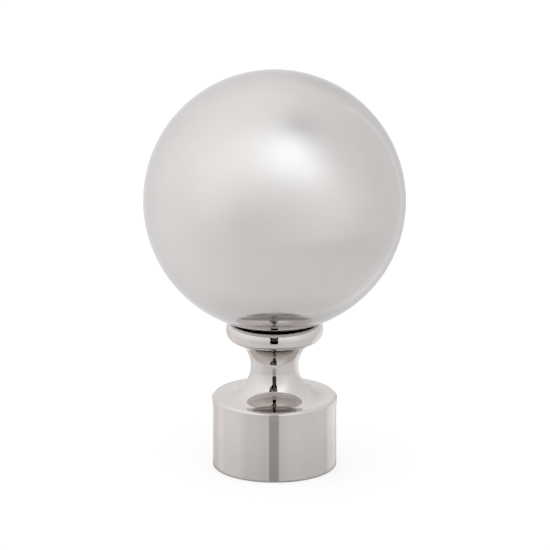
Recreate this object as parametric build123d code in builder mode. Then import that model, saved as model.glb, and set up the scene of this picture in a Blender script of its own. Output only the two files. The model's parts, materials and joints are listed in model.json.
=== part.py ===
from build123d import *

import os
from math import radians, sqrt, tan

# Ball finial for a round curtain pole: a hollow plated ball drawn down by a stud on a turned socket,
# which slips over the end of the pole and is held there by a grub screw in its back.
# Millimetres, +Z up along the pole's axis, origin at the centre of the socket's mouth.

# Socket
pole_diameter = 30.0
pole_clearance = 0.15
socket_wall = 1.45
socket_depth = 16.5
socket_crown = 3.22
mouth_chamfer = 0.3
foot_round = 0.65
lip_overhang = 0.23
lip_flare = 2.0
lip_land = 0.45
lip_chamfer = 0.6

# Neck and bead; the bead's face is a slow curve that rises and falls from its widest circle by these angles
top_land = 2.05
waist_diameter = 12.8
neck_height = 18.38
bead_diameter = 26.2
bead_face_radius = 3.2
bead_face_rise = 35.0
bead_face_fall = 40.0
bead_top_round = 1.0
bead_under_round = 1.7
groove_depth = 2.5

# Ball
ball_diameter = 70.5
ball_wall = 1.0
bead_to_ball_gap = 0.44

# Bush brazed into the ball
bush_diameter = 10.0
bush_flange_diameter = 16.0
bush_length = 10.0
bush_stand = 0.5
bush_chamfer = 0.6
braze_gap = 0.05
seat_shoulder = 0.5

# Threads are plain cylinders of the outer diameter, with this radial play in their holes
thread_play = 0.05

# Stud
stud_diameter = 6.0
stud_in_neck = 11.0
stud_in_ball = 9.0
stud_chamfer = 0.6
drill_point_angle = 118.0

# Grub screw
screw_diameter = 4.0
screw_length = 2.5
screw_height = 8.0
screw_recess = 0.1
screw_chamfer = 0.35
hex_across_flats = 2.0
hex_depth = 1.3

# Radii and heights that follow from the sizes above
bore_radius = pole_diameter / 2 + pole_clearance
wall_radius = bore_radius + socket_wall
lip_radius = wall_radius + lip_overhang
top_height = socket_depth + socket_crown
waist_radius = waist_diameter / 2
land_radius = wall_radius - top_land
waist_height = top_height + land_radius - waist_radius
bead_height = top_height + neck_height
bead_face_centre = Vector(bead_diameter / 2 - bead_face_radius, bead_height)
bead_under_centre = bead_face_centre + Vector(bead_face_radius - bead_under_round, 0).rotate(
    Axis.Z, -bead_face_fall
)
bead_top_centre = bead_face_centre + Vector(bead_face_radius - bead_top_round, 0).rotate(
    Axis.Z, bead_face_rise
)
groove_height = bead_top_centre.Y + bead_top_round - groove_depth
ball_radius = ball_diameter / 2
ball_inner_radius = ball_radius - ball_wall
ball_reach = bead_top_round + bead_to_ball_gap + ball_radius
ball_height = bead_top_centre.Y + sqrt(ball_reach**2 - bead_top_centre.X**2)
bush_radius = bush_diameter / 2
ball_hole_radius = bush_radius + braze_gap
seat_height = ball_height - sqrt(ball_radius**2 - ball_hole_radius**2) - bush_stand
seat_radius = bush_radius + seat_shoulder
stud_hole_radius = stud_diameter / 2 + thread_play
stud_foot = seat_height - stud_in_neck

# Turned socket: bore, foot, wall, bevelled lip, top face, coved neck, bead, groove and seat in one section
lip_height = top_height - lip_chamfer
lip_foot = lip_height - lip_land
drill_point = stud_hole_radius / tan(radians(drill_point_angle / 2))
with BuildPart() as socket:
    with BuildSketch(Plane.XZ):
        with BuildLine():
            Line((bore_radius + mouth_chamfer, 0), (wall_radius - foot_round, 0))
            TangentArc((wall_radius - foot_round, 0), (wall_radius, foot_round), tangent=(1, 0))
            Polyline(
                (wall_radius, foot_round),
                (wall_radius, lip_foot - lip_flare),
                (lip_radius, lip_foot),
                (lip_radius, lip_height),
                (lip_radius - lip_chamfer, top_height),
                (land_radius, top_height),
            )
            TangentArc((land_radius, top_height), (waist_radius, waist_height), tangent=(-1, 0))
            bead_under = CenterArc(bead_under_centre, bead_under_round, -90, 90 - bead_face_fall)
            TangentArc((waist_radius, waist_height), bead_under @ 0, tangent=(0, 1))
            CenterArc(bead_face_centre, bead_face_radius, -bead_face_fall, bead_face_fall + bead_face_rise)
            bead_top = CenterArc(bead_top_centre, bead_top_round, bead_face_rise, 180 - bead_face_rise)
            Polyline(
                bead_top @ 1,
                ((bead_top @ 1).X, groove_height),
                (seat_radius, groove_height),
                (seat_radius, seat_height),
                (stud_hole_radius, seat_height),
                (stud_hole_radius, stud_foot),
                (0, stud_foot - drill_point),
                (0, socket_depth),
                (bore_radius, socket_depth),
                (bore_radius, mouth_chamfer),
                (bore_radius + mouth_chamfer, 0),
            )
        make_face()
    revolve(axis=Axis.Z)
    # Tapped hole through the back of the wall
    screw_plane = Plane(origin=(0, 0, screw_height), x_dir=(1, 0, 0), z_dir=(0, 1, 0))
    with BuildSketch(screw_plane):
        Circle(screw_diameter / 2 + thread_play)
    extrude(amount=lip_radius, mode=Mode.SUBTRACT)

# Hollow ball with the hole for its bush at the bottom
with BuildPart() as ball:
    with Locations((0, 0, ball_height)):
        Sphere(ball_radius)
        Sphere(ball_inner_radius, mode=Mode.SUBTRACT)
    with BuildSketch(Plane.XY.offset(seat_height)):
        Circle(ball_hole_radius)
    extrude(amount=ball_radius, mode=Mode.SUBTRACT)

# Bush through that hole, its flange dished to the inside of the ball
dish_radius = ball_inner_radius - braze_gap
bush_flange_radius = bush_flange_diameter / 2
dish_low = ball_height - sqrt(dish_radius**2 - bush_radius**2)
dish_high = ball_height - sqrt(dish_radius**2 - bush_flange_radius**2)
bush_top = seat_height + bush_length
with BuildPart() as ball_bush:
    with BuildSketch(Plane.XZ):
        with BuildLine():
            Polyline(
                (bush_flange_radius, dish_high),
                (bush_flange_radius, bush_top - bush_chamfer),
                (bush_flange_radius - bush_chamfer, bush_top),
                (stud_hole_radius, bush_top),
                (stud_hole_radius, seat_height),
                (bush_radius, seat_height),
                (bush_radius, dish_low),
            )
            RadiusArc((bush_radius, dish_low), (bush_flange_radius, dish_high), dish_radius)
        make_face()
    revolve(axis=Axis.Z)

# Stud from the foot of the neck's hole up into the bush
with BuildPart() as joining_stud:
    with BuildSketch(Plane.XY.offset(stud_foot)):
        Circle(stud_diameter / 2)
    extrude(amount=stud_in_neck + stud_in_ball)
    chamfer(joining_stud.edges().filter_by(GeomType.CIRCLE), stud_chamfer)

# Grub screw, backed off so that its point stays clear of the pole
with BuildPart() as grub_screw:
    with BuildSketch(screw_plane.offset(bore_radius + screw_recess)):
        Circle(screw_diameter / 2)
    extrude(amount=screw_length)
    chamfer(grub_screw.edges().filter_by(GeomType.CIRCLE), screw_chamfer)
    with BuildSketch(screw_plane.offset(bore_radius + screw_recess + screw_length)):
        RegularPolygon(hex_across_flats / 2, 6, major_radius=False)
    extrude(amount=-hex_depth, mode=Mode.SUBTRACT)

ball.part.label = "ball"
ball_bush.part.label = "ball_bush"
joining_stud.part.label = "joining_stud"
socket.part.label = "socket"
grub_screw.part.label = "grub_screw"

os.makedirs("parts", exist_ok=True)
export_step(ball.part, "parts/ball.step")
export_step(ball_bush.part, "parts/ball_bush.step")
export_step(joining_stud.part, "parts/joining_stud.step")
export_step(socket.part, "parts/socket.step")
export_step(grub_screw.part, "parts/grub_screw.step")
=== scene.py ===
import json
from math import asin, cos, pi, radians, sin, sqrt, tan

import bpy
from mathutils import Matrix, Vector


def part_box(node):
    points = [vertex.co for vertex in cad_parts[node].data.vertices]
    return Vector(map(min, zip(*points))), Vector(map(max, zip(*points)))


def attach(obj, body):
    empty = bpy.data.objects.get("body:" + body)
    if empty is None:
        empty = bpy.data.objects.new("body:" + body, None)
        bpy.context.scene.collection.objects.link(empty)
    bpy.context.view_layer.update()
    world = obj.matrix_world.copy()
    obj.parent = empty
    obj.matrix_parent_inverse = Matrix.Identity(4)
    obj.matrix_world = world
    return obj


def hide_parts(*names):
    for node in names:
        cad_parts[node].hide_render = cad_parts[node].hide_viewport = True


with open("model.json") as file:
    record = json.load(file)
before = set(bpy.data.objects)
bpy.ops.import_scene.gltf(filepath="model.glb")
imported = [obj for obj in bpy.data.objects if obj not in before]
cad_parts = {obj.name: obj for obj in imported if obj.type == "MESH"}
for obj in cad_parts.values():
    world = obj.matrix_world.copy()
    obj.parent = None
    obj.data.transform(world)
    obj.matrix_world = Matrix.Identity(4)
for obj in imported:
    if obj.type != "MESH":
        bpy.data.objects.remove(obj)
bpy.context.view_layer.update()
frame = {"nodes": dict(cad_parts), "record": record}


# The ball: two pressed halves of brass, brazed together round the middle, ground and buffed until
# the seam is gone, and nickel plated. It is hollow, with one hole at the bottom, into which its bush
# is brazed.
ball_radius = 0.03525
ball_wall = 0.001
ball_hole_radius = 0.00505
ball_segments = 192
ball_rings = 96
ball_sharp_angle = radians(35)
ball_nickel = (0.62, 0.595, 0.585)
ball_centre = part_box("ball")[1].z - ball_radius

bpy.ops.object.select_all(action="DESELECT")
bpy.ops.mesh.primitive_uv_sphere_add(
    segments=ball_segments, ring_count=ball_rings, radius=ball_radius, location=(0, 0, ball_centre)
)
ball = bpy.context.object
ball.name = "nickel_ball"
bpy.ops.object.transform_apply(location=True, rotation=True, scale=True)
bpy.ops.object.mode_set(mode="EDIT")
bpy.ops.mesh.select_all(action="SELECT")
hole_height = ball_centre - sqrt(ball_radius**2 - ball_hole_radius**2)
bpy.ops.mesh.bisect(plane_co=(0, 0, hole_height), plane_no=(0, 0, 1), clear_inner=True)
bpy.ops.object.mode_set(mode="OBJECT")
wall = ball.modifiers.new("wall", "SOLIDIFY")
wall.thickness = ball_wall
wall.offset = -1
bpy.ops.object.modifier_apply(modifier=wall.name)
bpy.ops.object.shade_smooth_by_angle(angle=ball_sharp_angle)


class Wire:
    """A shader socket that works in Python expressions, in which each operation adds a Math node."""

    def __init__(self, tree, socket=None):
        self.tree = tree
        self.socket = socket

    def node(self, kind, inputs=None, output=0, **settings):
        """A new node's output: settings are set first, then the values or links of its sockets."""
        made = self.tree.nodes.new("ShaderNode" + kind)
        for name, value in settings.items():
            setattr(made, name, value)
        for name, value in (inputs or {}).items():
            if isinstance(value, Wire):
                self.tree.links.new(value.socket, made.inputs[name])
            else:
                made.inputs[name].default_value = value
        return Wire(self.tree, made.outputs[output])

    def maths(self, operation, *values):
        return self.node("Math", dict(enumerate(values)), operation=operation)

    def __add__(self, other):
        return self.maths("ADD", self, other)

    def __sub__(self, other):
        return self.maths("SUBTRACT", self, other)

    def __rsub__(self, other):
        return self.maths("SUBTRACT", other, self)

    def __mul__(self, other):
        return self.maths("MULTIPLY", self, other)

    def __neg__(self):
        return self.maths("MULTIPLY", self, -1.0)

    __radd__ = __add__
    __rmul__ = __mul__

    def between(self, low, high):
        """0 below low, 1 above high, with a smooth step from one to the other."""
        values = {"Value": self, "From Min": low, "From Max": high}
        return self.node("MapRange", values, interpolation_type="SMOOTHSTEP")

    def noise(self, place, scale, detail):
        return self.node("TexNoise", {"Vector": place, "Scale": scale, "Detail": detail})

    def stretched(self, place, factors):
        return self.node("Mapping", {"Vector": place, "Scale": factors})

    def blend(self, factor, first, second):
        """A colour between two colours."""
        values = {"Factor": factor, 6: first, 7: second}
        return self.node("Mix", values, output=2, data_type="RGBA")


def metal(name):
    """A new metal: its material, a wire to start expressions from and its surface shader."""
    material = bpy.data.materials.new(name)
    material.use_nodes = True
    surface = material.node_tree.nodes["Principled BSDF"]
    surface.inputs["Metallic"].default_value = 1.0
    return material, Wire(material.node_tree), surface


def drive(surface, **sockets):
    """Links wires to the shader's sockets, named with _ for a space."""
    for name, wire in sockets.items():
        wire.tree.links.new(wire.socket, surface.inputs[name.replace("_", " ")])


def buffed_nickel(name, bright, sheen, haze, ripple, painted_shade=None):
    """Bright nickel: faint clouds of haze, buffing lines round the axis and a slight ripple."""
    cloud_scale = 70
    line_stretch = (60, 60, 2600)
    ripple_scale = 190
    grazing_tint = (0.85, 0.85, 0.86, 1)
    # Painted shade: a near-black colour, made rougher, laid wherever a given mask says
    painted_shade_colour = (0.012, 0.011, 0.010, 1)
    painted_shade_roughness = 0.6
    clouded = [0.95 * part for part in bright]

    material, start, surface = metal(name)
    surface.inputs["Specular Tint"].default_value = grazing_tint
    place = start.node("TexCoord", output="Object")
    clouds = start.noise(place, cloud_scale, detail=4).between(0.35, 0.75)
    lines = start.noise(start.stretched(place, line_stretch), 1, detail=3).between(0.4, 0.8)
    swell = start.noise(place, ripple_scale, detail=1)
    relief = start.node("Bump", {"Height": swell, "Distance": ripple, "Strength": 1.0})
    colour = start.blend(clouds * 0.6 + lines * 0.15, (*bright, 1), (*clouded, 1))
    roughness = sheen + haze * clouds + 0.4 * haze * lines
    # Where a painted shade mask is given, the colour goes near black there and the surface rougher
    if painted_shade:
        painted_shade_mask = painted_shade(start, place)
        colour = start.blend(painted_shade_mask, colour, painted_shade_colour)
        roughness = roughness + (painted_shade_roughness - roughness) * painted_shade_mask
    drive(surface, Base_Color=colour, Roughness=roughness, Normal=relief)
    return material


ball.data.materials.append(
    buffed_nickel("buffed_nickel_ball", ball_nickel, sheen=0.10, haze=0.03, ripple=2e-6)
)
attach(ball, "root")
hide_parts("ball")


# The bush: a flanged brass turning, brazed into the ball's hole from inside and tapped for the stud.
# Only its end shows, deep in the slot under the ball, left as it came off the lathe.
fresh_brass = (0.62, 0.44, 0.18, 1)
dull_brass = (0.33, 0.21, 0.09, 1)
lathe_stretch = (300, 300, 9000)
lathe_depth = 4e-6
tarnish_scale = 400

brass, start, surface = metal("turned_brass")
place = start.node("TexCoord", output="Object")
lathe_lines = start.noise(start.stretched(place, lathe_stretch), 1, detail=2)
tarnish = start.noise(place, tarnish_scale, detail=3).between(0.4, 0.75)
drive(
    surface,
    Base_Color=start.blend(tarnish, fresh_brass, dull_brass),
    Roughness=0.28 + 0.2 * tarnish,
    Normal=start.node("Bump", {"Height": lathe_lines, "Distance": lathe_depth, "Strength": 1.0}),
)
bush = frame["nodes"]["ball_bush"]
bush.data.materials.clear()
bush.data.materials.append(brass)


# The stud: plated steel with a rolled thread all along it, screwed into the neck and up into the
# bush. It draws the ball down on its seat and is out of sight once the finial is together.
stud_pitch = 0.001
stud_chamfer = 0.0006
stud_low, stud_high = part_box("joining_stud")
stud_length = stud_high.z - stud_low.z
thread_sharp_angle = radians(25)
bright_steel = (0.56, 0.56, 0.55, 1)
dulled_steel = (0.40, 0.40, 0.38, 1)
drawing_stretch = (900, 900, 120)
drawing_depth = 2e-6
dulling_scale = 500


def start_line(first):
    """A new mesh of a single point, in edit mode, from which a line is drawn in the XZ plane."""
    bpy.ops.object.select_all(action="DESELECT")
    bpy.ops.mesh.primitive_plane_add(size=0.001, location=(first[0], 0, first[1]))
    bpy.ops.object.transform_apply(location=True, rotation=True, scale=True)
    bpy.ops.object.mode_set(mode="EDIT")
    bpy.ops.mesh.select_all(action="SELECT")
    bpy.ops.mesh.merge(type="CENTER")
    return first


def straight(pen, *points):
    """Draws straight lines from the pen through the points, and returns where the pen is left."""
    for point in points:
        step = (point[0] - pen[0], 0, point[1] - pen[1])
        bpy.ops.mesh.extrude_vertices_move(TRANSFORM_OT_translate={"value": step})
        pen = point
    return pen


def cut_with(piece, tool, operation):
    """Cuts a piece with a tool, which is then thrown away, and leaves the piece active."""
    bpy.ops.object.select_all(action="DESELECT")
    bpy.context.view_layer.objects.active = piece
    piece.select_set(True)
    cut = piece.modifiers.new("cut", "BOOLEAN")
    cut.operation = operation
    cut.solver = "EXACT"
    cut.object = tool
    bpy.ops.object.modifier_apply(modifier=cut.name)
    bpy.data.objects.remove(tool)


def thread_bar(name, radius, pitch, foot, length, chamfer):
    """A threaded bar up the Z axis: a helix of a metric thread, cut by a chamfered blank."""
    depth_in_pitches = 0.6134
    steps_round = 40
    spare_turns = 5
    root = radius - depth_in_pitches * pitch
    low = foot - 2 * pitch
    straight(
        start_line((root, low)),
        (root, low + pitch / 8),
        (radius, low + pitch * 7 / 16),
        (radius, low + pitch * 9 / 16),
        (root, low + pitch * 7 / 8),
        (root, low + pitch),
    )
    bpy.ops.object.mode_set(mode="OBJECT")
    bar = bpy.context.object
    bar.name = name
    helix = bar.modifiers.new("helix", "SCREW")
    helix.screw_offset = pitch
    helix.iterations = int(length / pitch) + spare_turns
    helix.steps = steps_round
    helix.render_steps = steps_round
    helix.use_merge_vertices = True
    helix.merge_threshold = pitch * 1e-4
    bpy.ops.object.modifier_apply(modifier=helix.name)
    bpy.ops.object.mode_set(mode="EDIT")
    for height, keep_below in ((foot - pitch / 3, False), (foot + length + pitch / 3, True)):
        bpy.ops.mesh.select_all(action="SELECT")
        bpy.ops.mesh.bisect(
            plane_co=(0, 0, height),
            plane_no=(0, 0, 1),
            use_fill=True,
            clear_inner=not keep_below,
            clear_outer=keep_below,
        )
    bpy.ops.mesh.select_all(action="SELECT")
    bpy.ops.mesh.normals_make_consistent(inside=False)
    bpy.ops.object.mode_set(mode="OBJECT")
    bpy.ops.object.select_all(action="DESELECT")
    bpy.ops.mesh.primitive_cylinder_add(
        vertices=80, radius=radius * 1.001, depth=length, location=(0, 0, foot + length / 2)
    )
    blank = bpy.context.object
    bpy.ops.object.transform_apply(location=True, rotation=True, scale=True)
    ends = blank.modifiers.new("chamfer", "BEVEL")
    ends.width = chamfer
    ends.segments = 1
    ends.limit_method = "ANGLE"
    bpy.ops.object.modifier_apply(modifier=ends.name)
    cut_with(bar, blank, "INTERSECT")
    return bar


stud = thread_bar(
    "joining_stud_threaded", stud_high.x, stud_pitch, stud_low.z, stud_length, stud_chamfer
)
bpy.ops.object.shade_smooth_by_angle(angle=thread_sharp_angle)
steel, start, surface = metal("plated_steel")
place = start.node("TexCoord", output="Object")
drawn = start.noise(start.stretched(place, drawing_stretch), 1, detail=3)
dulled = start.noise(place, dulling_scale, detail=3).between(0.4, 0.7)
drive(
    surface,
    Base_Color=start.blend(dulled, bright_steel, dulled_steel),
    Roughness=0.22 + 0.15 * dulled + 0.05 * drawn,
    Normal=start.node("Bump", {"Height": drawn, "Distance": drawing_depth, "Strength": 1.0}),
)
stud.data.materials.append(steel)
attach(stud, "root")
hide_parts("joining_stud")


# The socket: one turning from brass bar, buffed and nickel plated. Below it is bored for the pole.
# Above the lipped top face stand the neck, waisted between two coves, the bead, and the seat inside
# its groove.
pole_bore = next(m for m in frame["record"]["mounts"] if m["name"] == "pole_socket")["dims"]
bore_radius = pole_bore["r_mm"] / 1000
mouth_chamfer = 0.0003
bore_depth = mouth_chamfer + pole_bore["length_mm"] / 1000
foot_round = 0.00065
wall_radius = 0.0166
lip_overhang = 0.00023
lip_radius = wall_radius + lip_overhang
lip_flare = 0.002
lip_land = 0.00045
lip_chamfer = 0.0006
lip_edge = 0.00008
top_height = 0.01972
lip_height = top_height - lip_chamfer
lip_foot = lip_height - lip_land
land_radius = 0.01455
waist_radius = 0.0064
cove_radius = land_radius - waist_radius
waist_height = top_height + cove_radius
bead_radius = 0.0131
bead_height = 0.0381
bead_face_radius = 0.0032
bead_face_rise = radians(35)
bead_face_fall = radians(40)
bead_top_round = 0.001
bead_under_round = 0.0017
groove_depth = 0.0025
seat_radius = 0.0055
seat_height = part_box("ball_bush")[0].z
stud_hole_radius = 0.00305
stud_foot = stud_low.z
drill_point_angle = radians(118)
drill_point = stud_hole_radius / tan(drill_point_angle / 2)
screw_hole_radius = 0.00205
lathe_steps = 192
socket_sharp_angle = radians(20)
socket_nickel = (0.59, 0.557, 0.537)
# Where the painted shade in the groove lies: out from the axis, and up from the groove's floor
painted_shade_out = (0.0110, 0.0115)
painted_shade_up = (0.0370, 0.0374)


def arc(pen, centre, turn, steps):
    """Draws an arc from the pen about a centre, by turn radians from X towards Z."""
    bpy.ops.mesh.spin(steps=steps, angle=turn, center=(centre[0], 0, centre[1]), axis=(0, 1, 0))
    x, z = pen[0] - centre[0], pen[1] - centre[1]
    return (
        centre[0] + x * cos(turn) - z * sin(turn),
        centre[1] + x * sin(turn) + z * cos(turn),
    )


# Bore, foot and wall, and the lip with its two edges a little rounded
pen = start_line((0, bore_depth))
pen = straight(
    pen,
    (bore_radius, bore_depth),
    (bore_radius, mouth_chamfer),
    (bore_radius + mouth_chamfer, 0),
    (wall_radius - foot_round, 0),
)
pen = arc(pen, (wall_radius - foot_round, foot_round), pi / 2, steps=10)
edge_back = lip_edge * tan(pi / 8)
pen = straight(
    pen,
    (wall_radius, lip_foot - lip_flare),
    (lip_radius, lip_foot),
    (lip_radius, lip_height - edge_back),
)
pen = arc(pen, (lip_radius - lip_edge, lip_height - edge_back), pi / 4, steps=5)
bevel_out = lip_radius - lip_chamfer + edge_back * cos(pi / 4)
pen = straight(pen, (bevel_out, top_height - edge_back * sin(pi / 4)))
pen = arc(pen, (lip_radius - lip_chamfer - edge_back, top_height - lip_edge), pi / 4, steps=5)

# Top face, the two coves of the neck, and the bead in three arcs
pen = straight(pen, (land_radius, top_height))
pen = arc(pen, (land_radius, waist_height), -pi / 2, steps=44)
face_centre = (bead_radius - bead_face_radius, bead_height)
under_out = bead_face_radius - bead_under_round
under_centre = (
    face_centre[0] + under_out * cos(bead_face_fall),
    face_centre[1] - under_out * sin(bead_face_fall),
)
top_out = bead_face_radius - bead_top_round
top_centre = (
    face_centre[0] + top_out * cos(bead_face_rise),
    face_centre[1] + top_out * sin(bead_face_rise),
)
neck_rise = under_centre[1] - bead_under_round - waist_height
neck_flare = under_centre[0] - waist_radius
upper_cove = (neck_flare**2 + neck_rise**2) / (2 * neck_flare)
upper_turn = -asin(neck_rise / upper_cove)
pen = arc(pen, (waist_radius + upper_cove, waist_height), upper_turn, steps=32)
pen = arc(pen, under_centre, pi / 2 - bead_face_fall, steps=16)
pen = arc(pen, face_centre, bead_face_fall + bead_face_rise, steps=36)
pen = arc(pen, top_centre, pi - bead_face_rise, steps=36)

# Groove, seat and the drilled hole for the stud
groove_height = top_centre[1] + bead_top_round - groove_depth
straight(
    pen,
    (pen[0], groove_height),
    (seat_radius, groove_height),
    (seat_radius, seat_height),
    (stud_hole_radius, seat_height),
    (stud_hole_radius, stud_foot),
    (0, stud_foot - drill_point),
)
bpy.ops.mesh.select_all(action="SELECT")
bpy.ops.mesh.spin(steps=lathe_steps, angle=2 * pi, center=(0, 0, 0), axis=(0, 0, 1))
bpy.ops.mesh.select_all(action="SELECT")
bpy.ops.mesh.remove_doubles(threshold=1e-7)
bpy.ops.mesh.normals_make_consistent(inside=False)
bpy.ops.object.mode_set(mode="OBJECT")
socket = bpy.context.object
socket.name = "nickel_socket"

# Tapped hole through the back of the wall
screw_low, screw_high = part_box("grub_screw")
screw_height = (screw_low.z + screw_high.z) / 2
bpy.ops.object.select_all(action="DESELECT")
bpy.ops.mesh.primitive_cylinder_add(
    vertices=64,
    radius=screw_hole_radius,
    depth=wall_radius,
    location=(0, wall_radius, screw_height),
    rotation=(pi / 2, 0, 0),
)
drill = bpy.context.object
bpy.ops.object.transform_apply(location=True, rotation=True, scale=True)
cut_with(socket, drill, "DIFFERENCE")
bpy.ops.object.shade_smooth_by_angle(angle=socket_sharp_angle)
even = socket.modifiers.new("even", "WEIGHTED_NORMAL")
even.keep_sharp = True
bpy.ops.object.modifier_apply(modifier=even.name)


def groove_painted_shade(start, place):
    """Painted shade in the groove: inside the bead's crown, from its floor up."""
    height = start.node("SeparateXYZ", {"Vector": place}, output="Z")
    across = start.node("VectorMath", {0: place, 1: (1, 1, 0)}, operation="MULTIPLY")
    out = start.node("VectorMath", {0: across}, output="Value", operation="LENGTH")
    return (1 - out.between(*painted_shade_out)) * height.between(*painted_shade_up)


# The socket's nickel, with painted shade laid dark in the groove inside the bead's crown
socket.data.materials.append(
    buffed_nickel(
        "buffed_nickel_socket",
        socket_nickel,
        sheen=0.05,
        haze=0.02,
        ripple=1.5e-6,
        painted_shade=groove_painted_shade,
    )
)
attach(socket, "root")
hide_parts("socket")


# The grub screw: a short plated steel set screw with a hexagon socket, in the tapped hole at the back
# of the socket. It is backed off, so that its point stays clear of the bore until the pole is in.
screw_radius = 0.002
screw_pitch = 0.0007
screw_chamfer = 0.00035
screw_length = screw_high.y - screw_low.y
hex_flats = 0.002
hex_depth = 0.0013

grub = thread_bar(
    "grub_screw_threaded", screw_radius, screw_pitch, 0, screw_length, screw_chamfer
)
bpy.ops.object.select_all(action="DESELECT")
bpy.ops.mesh.primitive_cylinder_add(
    vertices=6,
    radius=hex_flats / sqrt(3),
    depth=2 * hex_depth,
    location=(0, 0, screw_length),
)
hexagon = bpy.context.object
bpy.ops.object.transform_apply(location=True, rotation=True, scale=True)
cut_with(grub, hexagon, "DIFFERENCE")
grub.rotation_euler = (-pi / 2, 0, 0)
grub.location = (0, screw_low.y, screw_height)
bpy.ops.object.transform_apply(location=True, rotation=True, scale=True)
bpy.ops.object.shade_smooth_by_angle(angle=thread_sharp_angle)
grub.data.materials.append(steel)
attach(grub, "root")
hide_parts("grub_screw")


# The studio: a white tent of cloth all round, lit from outside. It is brightest high up in front,
# where the key lamp stands, and on the left. A dark flag hangs beside the lamp, and a bright seam
# runs up behind.
white = (1, 1, 1, 1)


def toward(azimuth, elevation=0):
    """A unit vector, in degrees round from the front towards the right, and up."""
    flat = cos(radians(elevation))
    return flat * sin(radians(azimuth)), -flat * cos(radians(azimuth)), sin(radians(elevation))


def facing(way, *direction):
    """The cosine of the angle between a way and a fixed direction."""
    both = {0: way, 1: toward(*direction)}
    return way.node("VectorMath", both, output="Value", operation="DOT_PRODUCT")


def bell(way, spread, *direction):
    """1 straight in a direction, falling off softly over a spread in degrees."""
    return way.maths("EXPONENT", (facing(way, *direction) - 1) * radians(spread) ** -2)


def turned_level(way):
    """The same way without its rise or fall."""
    flat = way.node("VectorMath", {0: way, 1: (1, 1, 0)}, operation="MULTIPLY")
    return way.node("VectorMath", {0: flat}, operation="NORMALIZE")


def tent_level(way):
    """How bright the tent is in a direction."""
    up = facing(way, 0, 90)
    flat_way = turned_level(way)
    left_wall = 0.23 * bell(way, 51, -121, 7)
    front_left = 0.325 * bell(way, 34, -46, 45)
    high_back = 0.11 * bell(way, 20, -173, 57)
    key = 0.5 * bell(way, 17, 20, 59) + 0.09 * bell(way, 9, 40, 63) + 0.22 * bell(way, 12, 42, 39)
    low_right = 0.18 * bell(way, 24, 55, 15)
    flag = 0.23 * bell(way, 10, 84, 73)
    camera_side = 0.11 * bell(way, 20, -27, 1)
    table_edge = 0.07 * bell(flat_way, 35, 60)
    table_edge = table_edge * (1 - up.between(-0.4, -0.28)) * up.between(-0.8, -0.45)
    seam = 0.1 * bell(flat_way, 1.8, 146.5) - 0.1 * bell(flat_way, 8, 166)
    seam = seam * (1 - up.between(0.3, 0.6))
    seam_foot = 0.09 * bell(way, 9, 148, -37)
    bright = left_wall + front_left + high_back + key + low_right + seam + seam_foot
    return 0.88 + bright - flag - camera_side - table_edge


def tent_at_socket(way):
    """How bright the tent and the paper are round the socket, with the slit for the camera."""
    up = facing(way, 0, 90)
    flat_way = turned_level(way)

    # Paper and tent, and the shadow under the foot
    left = 0.145 * facing(flat_way, -125).between(0.29, 0.66) - 0.025 * bell(flat_way, 14, -148)
    left = left + 0.112 * bell(flat_way, 7.5, -120)
    ahead = 0.045 * bell(flat_way, 13, 32) + 0.022 * bell(flat_way, 8, 96)
    ahead = ahead - 0.09 * bell(flat_way, 21, -6)
    right = 0.26 * facing(flat_way, 155).between(0.713, 0.87) - 0.3 * bell(flat_way, 7, 170)
    right = right + 0.065 * bell(flat_way, 3, 135.5) + 0.18 * bell(flat_way, 3.4, 146.5)
    paper = 0.9 + left + ahead + right
    behind = 0.1 * bell(way, 9, 180, 17)
    sides = 0.07 * bell(way, 28, 126, 41) + 0.045 * bell(way, 28, -126, 41)
    tent = tent_level(way) + behind + sides
    low = up.between(-0.68, -0.58) * (1 - up.between(-0.2, -0.02))
    shadow = 0.45 * up.between(-0.985, -0.965) * (1 - up.between(-0.94, -0.91))

    # The slit's parts on the paper and high up: where they lie and how much light they take
    in_front = 1 - facing(way, 180).between(-0.1, 0)
    over_paper = up.between(-0.06, 0)
    under_top = 1 - up.between(0.9, 0.92)
    wide = up.between(0.53, 0.61) - up.between(0.82, 0.85)
    across = facing(way, 90) + 0.016 + 0.045 * wide
    half = 0.15 - 0.02 * up.between(-0.28, -0.1) + 0.035 * up.between(0, 0.4) + 0.05 * wide
    slit = 1 - (way.maths("ABSOLUTE", across) - half).between(-0.006, 0.006)
    slit = slit * in_front * under_top
    depth = 0.36 * up.between(-0.56, -0.53) + 0.06 * up.between(-0.42, -0.38)
    depth = depth * (1 - over_paper) + 0.9 * up.between(0.45, 0.57)
    cloth = (tent + (paper - tent) * low) * (1 - slit * depth) * (1 - shadow)

    # Its middle part is the strip that hangs close by, and the cloth behind that is plain
    plain = 1.05 + 0.06 * up.between(0.5, 0.6)
    screened = 1 - way.maths("ABSOLUTE", facing(way, 90) + 0.012).between(0.1, 0.112)
    screened = screened * in_front * over_paper * under_top
    return cloth + (plain - cloth) * screened


world = bpy.data.worlds.new("tent")
bpy.context.scene.world = world
world.use_nodes = True
world.cycles_visibility.glossy = False
start = Wire(world.node_tree)
seen = start.node("LightPath", output="Is Camera Ray")
tent = tent_level(start.node("TexCoord", output="Generated"))
tent = tent + (1 - tent) * seen
backdrop = world.node_tree.nodes["Background"]
backdrop.inputs["Color"].default_value = white
world.node_tree.links.new(tent.socket, backdrop.inputs["Strength"])


# The cloth as the metal shows it: two clear domes, one for the ball and one for the turned pieces,
# which stand lower and nearer to the paper. Each dome lights only its own pieces, and only mirror
# rays meet it.
ball_dome_radius = 6.5
socket_dome_radius = 6.0
key_tint = (0.95, 1, 1.02, 1)
turned_pieces = (socket, grub, stud, bush)


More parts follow.
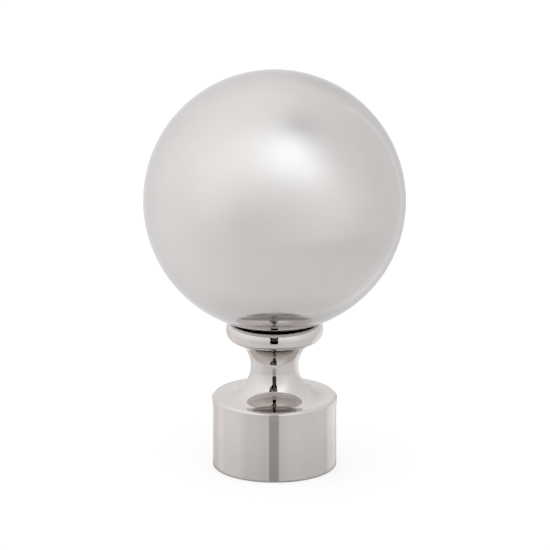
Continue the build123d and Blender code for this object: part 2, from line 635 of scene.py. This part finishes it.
def clear_light(piece, name, receivers, glow_of):
    """Makes a piece of the stage clear, with a glow that only the receivers mirror."""
    piece.name = name
    cloth = bpy.data.materials.new(name)
    cloth.use_nodes = True
    tree = cloth.node_tree
    tree.nodes.remove(tree.nodes["Principled BSDF"])
    start = Wire(tree)
    glow = glow_of(start, start.node("TexCoord", output="Object"))
    both = start.node("AddShader", {0: start.node("BsdfTransparent"), 1: glow})
    tree.links.new(both.socket, tree.nodes["Material Output"].inputs["Surface"])
    piece.data.materials.append(cloth)
    piece.visible_camera = False
    piece.visible_diffuse = False
    piece.visible_shadow = False
    lit = bpy.data.collections.new(name)
    for receiver in receivers:
        lit.objects.link(receiver)
    piece.light_linking.receiver_collection = lit


def dome(name, radius, receivers, brightness):
    """A clear dome round the finial, as bright in each direction as the tent."""

    def glow(start, place):
        way = start.node("VectorMath", {0: place}, operation="NORMALIZE")
        tint = start.blend(bell(way, 20, 25, 57), white, key_tint)
        return start.node("Emission", {"Color": tint, "Strength": brightness(way)})

    bpy.ops.object.select_all(action="DESELECT")
    bpy.ops.mesh.primitive_uv_sphere_add(segments=64, ring_count=32, radius=radius)
    clear_light(bpy.context.object, name, receivers, glow)


dome("tent_round_the_ball", ball_dome_radius, (ball,), tent_level)
dome("tent_round_the_socket", socket_dome_radius, turned_pieces, tent_at_socket)


# The slit's middle part, level with the turned pieces: a clear strip that hangs close in front of
# them and takes the cloth's light away, so that they show a dark line up the front and their flat
# top doesn't.
strip_distance = 0.07
strip_low = 0.015
strip_high = 0.155
strip_width = 0.06
slit_left = -0.0112
slit_right = 0.0093
slit_blur = 0.0006
slit_foot = (0.0205, 0.0265)


def slit_glow(start, place):
    """Light taken away between the slit's two sides, from its foot up."""
    x = start.node("SeparateXYZ", {"Vector": place}, output="X")
    z = start.node("SeparateXYZ", {"Vector": place}, output="Z")
    inside = (x - slit_left).between(-slit_blur, slit_blur)
    inside = inside * (1 - (x - slit_right).between(-slit_blur, slit_blur))
    tint = start.blend(0.8 * z.between(0.02, 0.11), white, key_tint)
    return start.node("Emission", {"Color": tint, "Strength": -(inside * z.between(*slit_foot))})


bpy.ops.object.select_all(action="DESELECT")
bpy.ops.mesh.primitive_plane_add(
    size=1, location=(0, -strip_distance, (strip_low + strip_high) / 2)
)
strip = bpy.context.object
strip.rotation_euler = (pi / 2, 0, 0)
strip.scale = (strip_width, strip_high - strip_low, 1)
bpy.ops.object.transform_apply(location=True, rotation=True, scale=True)
clear_light(strip, "camera_slit", turned_pieces, slit_glow)


# The table: a sheet of white paper under the finial, matt, so that only a soft shadow lies round the
# foot. The domes hold the paper's brightness for the metal, which here finds only the shade near the
# foot.
table_radius = 2.0
paper_grey = (0.3, 0.3, 0.3, 1)
paper_lift = 0.7

bpy.ops.object.select_all(action="DESELECT")
bpy.ops.mesh.primitive_circle_add(vertices=96, radius=table_radius, fill_type="NGON")
table = bpy.context.object
table.name = "table"
paper = bpy.data.materials.new("white_paper")
paper.use_nodes = True
paper.node_tree.nodes.remove(paper.node_tree.nodes["Principled BSDF"])
start = Wire(paper.node_tree)
place = start.node("TexCoord", output="Object")
seen = start.node("LightPath", output="Is Camera Ray")
mirrored = start.node("LightPath", output="Is Glossy Ray")
matt = start.node("BsdfDiffuse", {"Color": paper_grey})
lift = start.node("Emission", {"Strength": paper_lift * seen})
lit_sheet = start.node("AddShader", {0: matt, 1: lift})
out = start.node("VectorMath", {0: place}, output="Value", operation="LENGTH")
wide_shade = 0.13 * (1 - out.between(0.016, 0.06))
foot_shade = 0.3 * (1 - out.between(0.0166, 0.0195))
clear = start.node("BsdfTransparent")
dark = start.node("Emission", {"Strength": 0.0})
mirrored_sheet = start.node("MixShader", {0: wide_shade + foot_shade, 1: clear, 2: dark})
sheet = start.node("MixShader", {0: mirrored, 1: lit_sheet, 2: mirrored_sheet})
paper.node_tree.links.new(
    sheet.socket, paper.node_tree.nodes["Material Output"].inputs["Surface"]
)
table.data.materials.append(paper)


# The camera: far off with a very long lens, so that the finial's sides stay parallel, and as high as
# the photograph's view of the top face.
view_elevation = radians(17.3)
frame_width = 0.1474
aim = Vector((0.00013, 0, 0.0533))
lens = 1500

camera_data = bpy.data.cameras.new("camera")
camera_data.lens = lens
distance = frame_width * lens / camera_data.sensor_width
camera = bpy.data.objects.new("camera", camera_data)
bpy.context.scene.collection.objects.link(camera)
camera.location = aim + distance * Vector((0, -cos(view_elevation), sin(view_elevation)))
camera.rotation_euler = (pi / 2 - view_elevation, 0, 0)
bpy.context.scene.camera = camera
bpy.context.scene.view_settings.view_transform = "Standard"
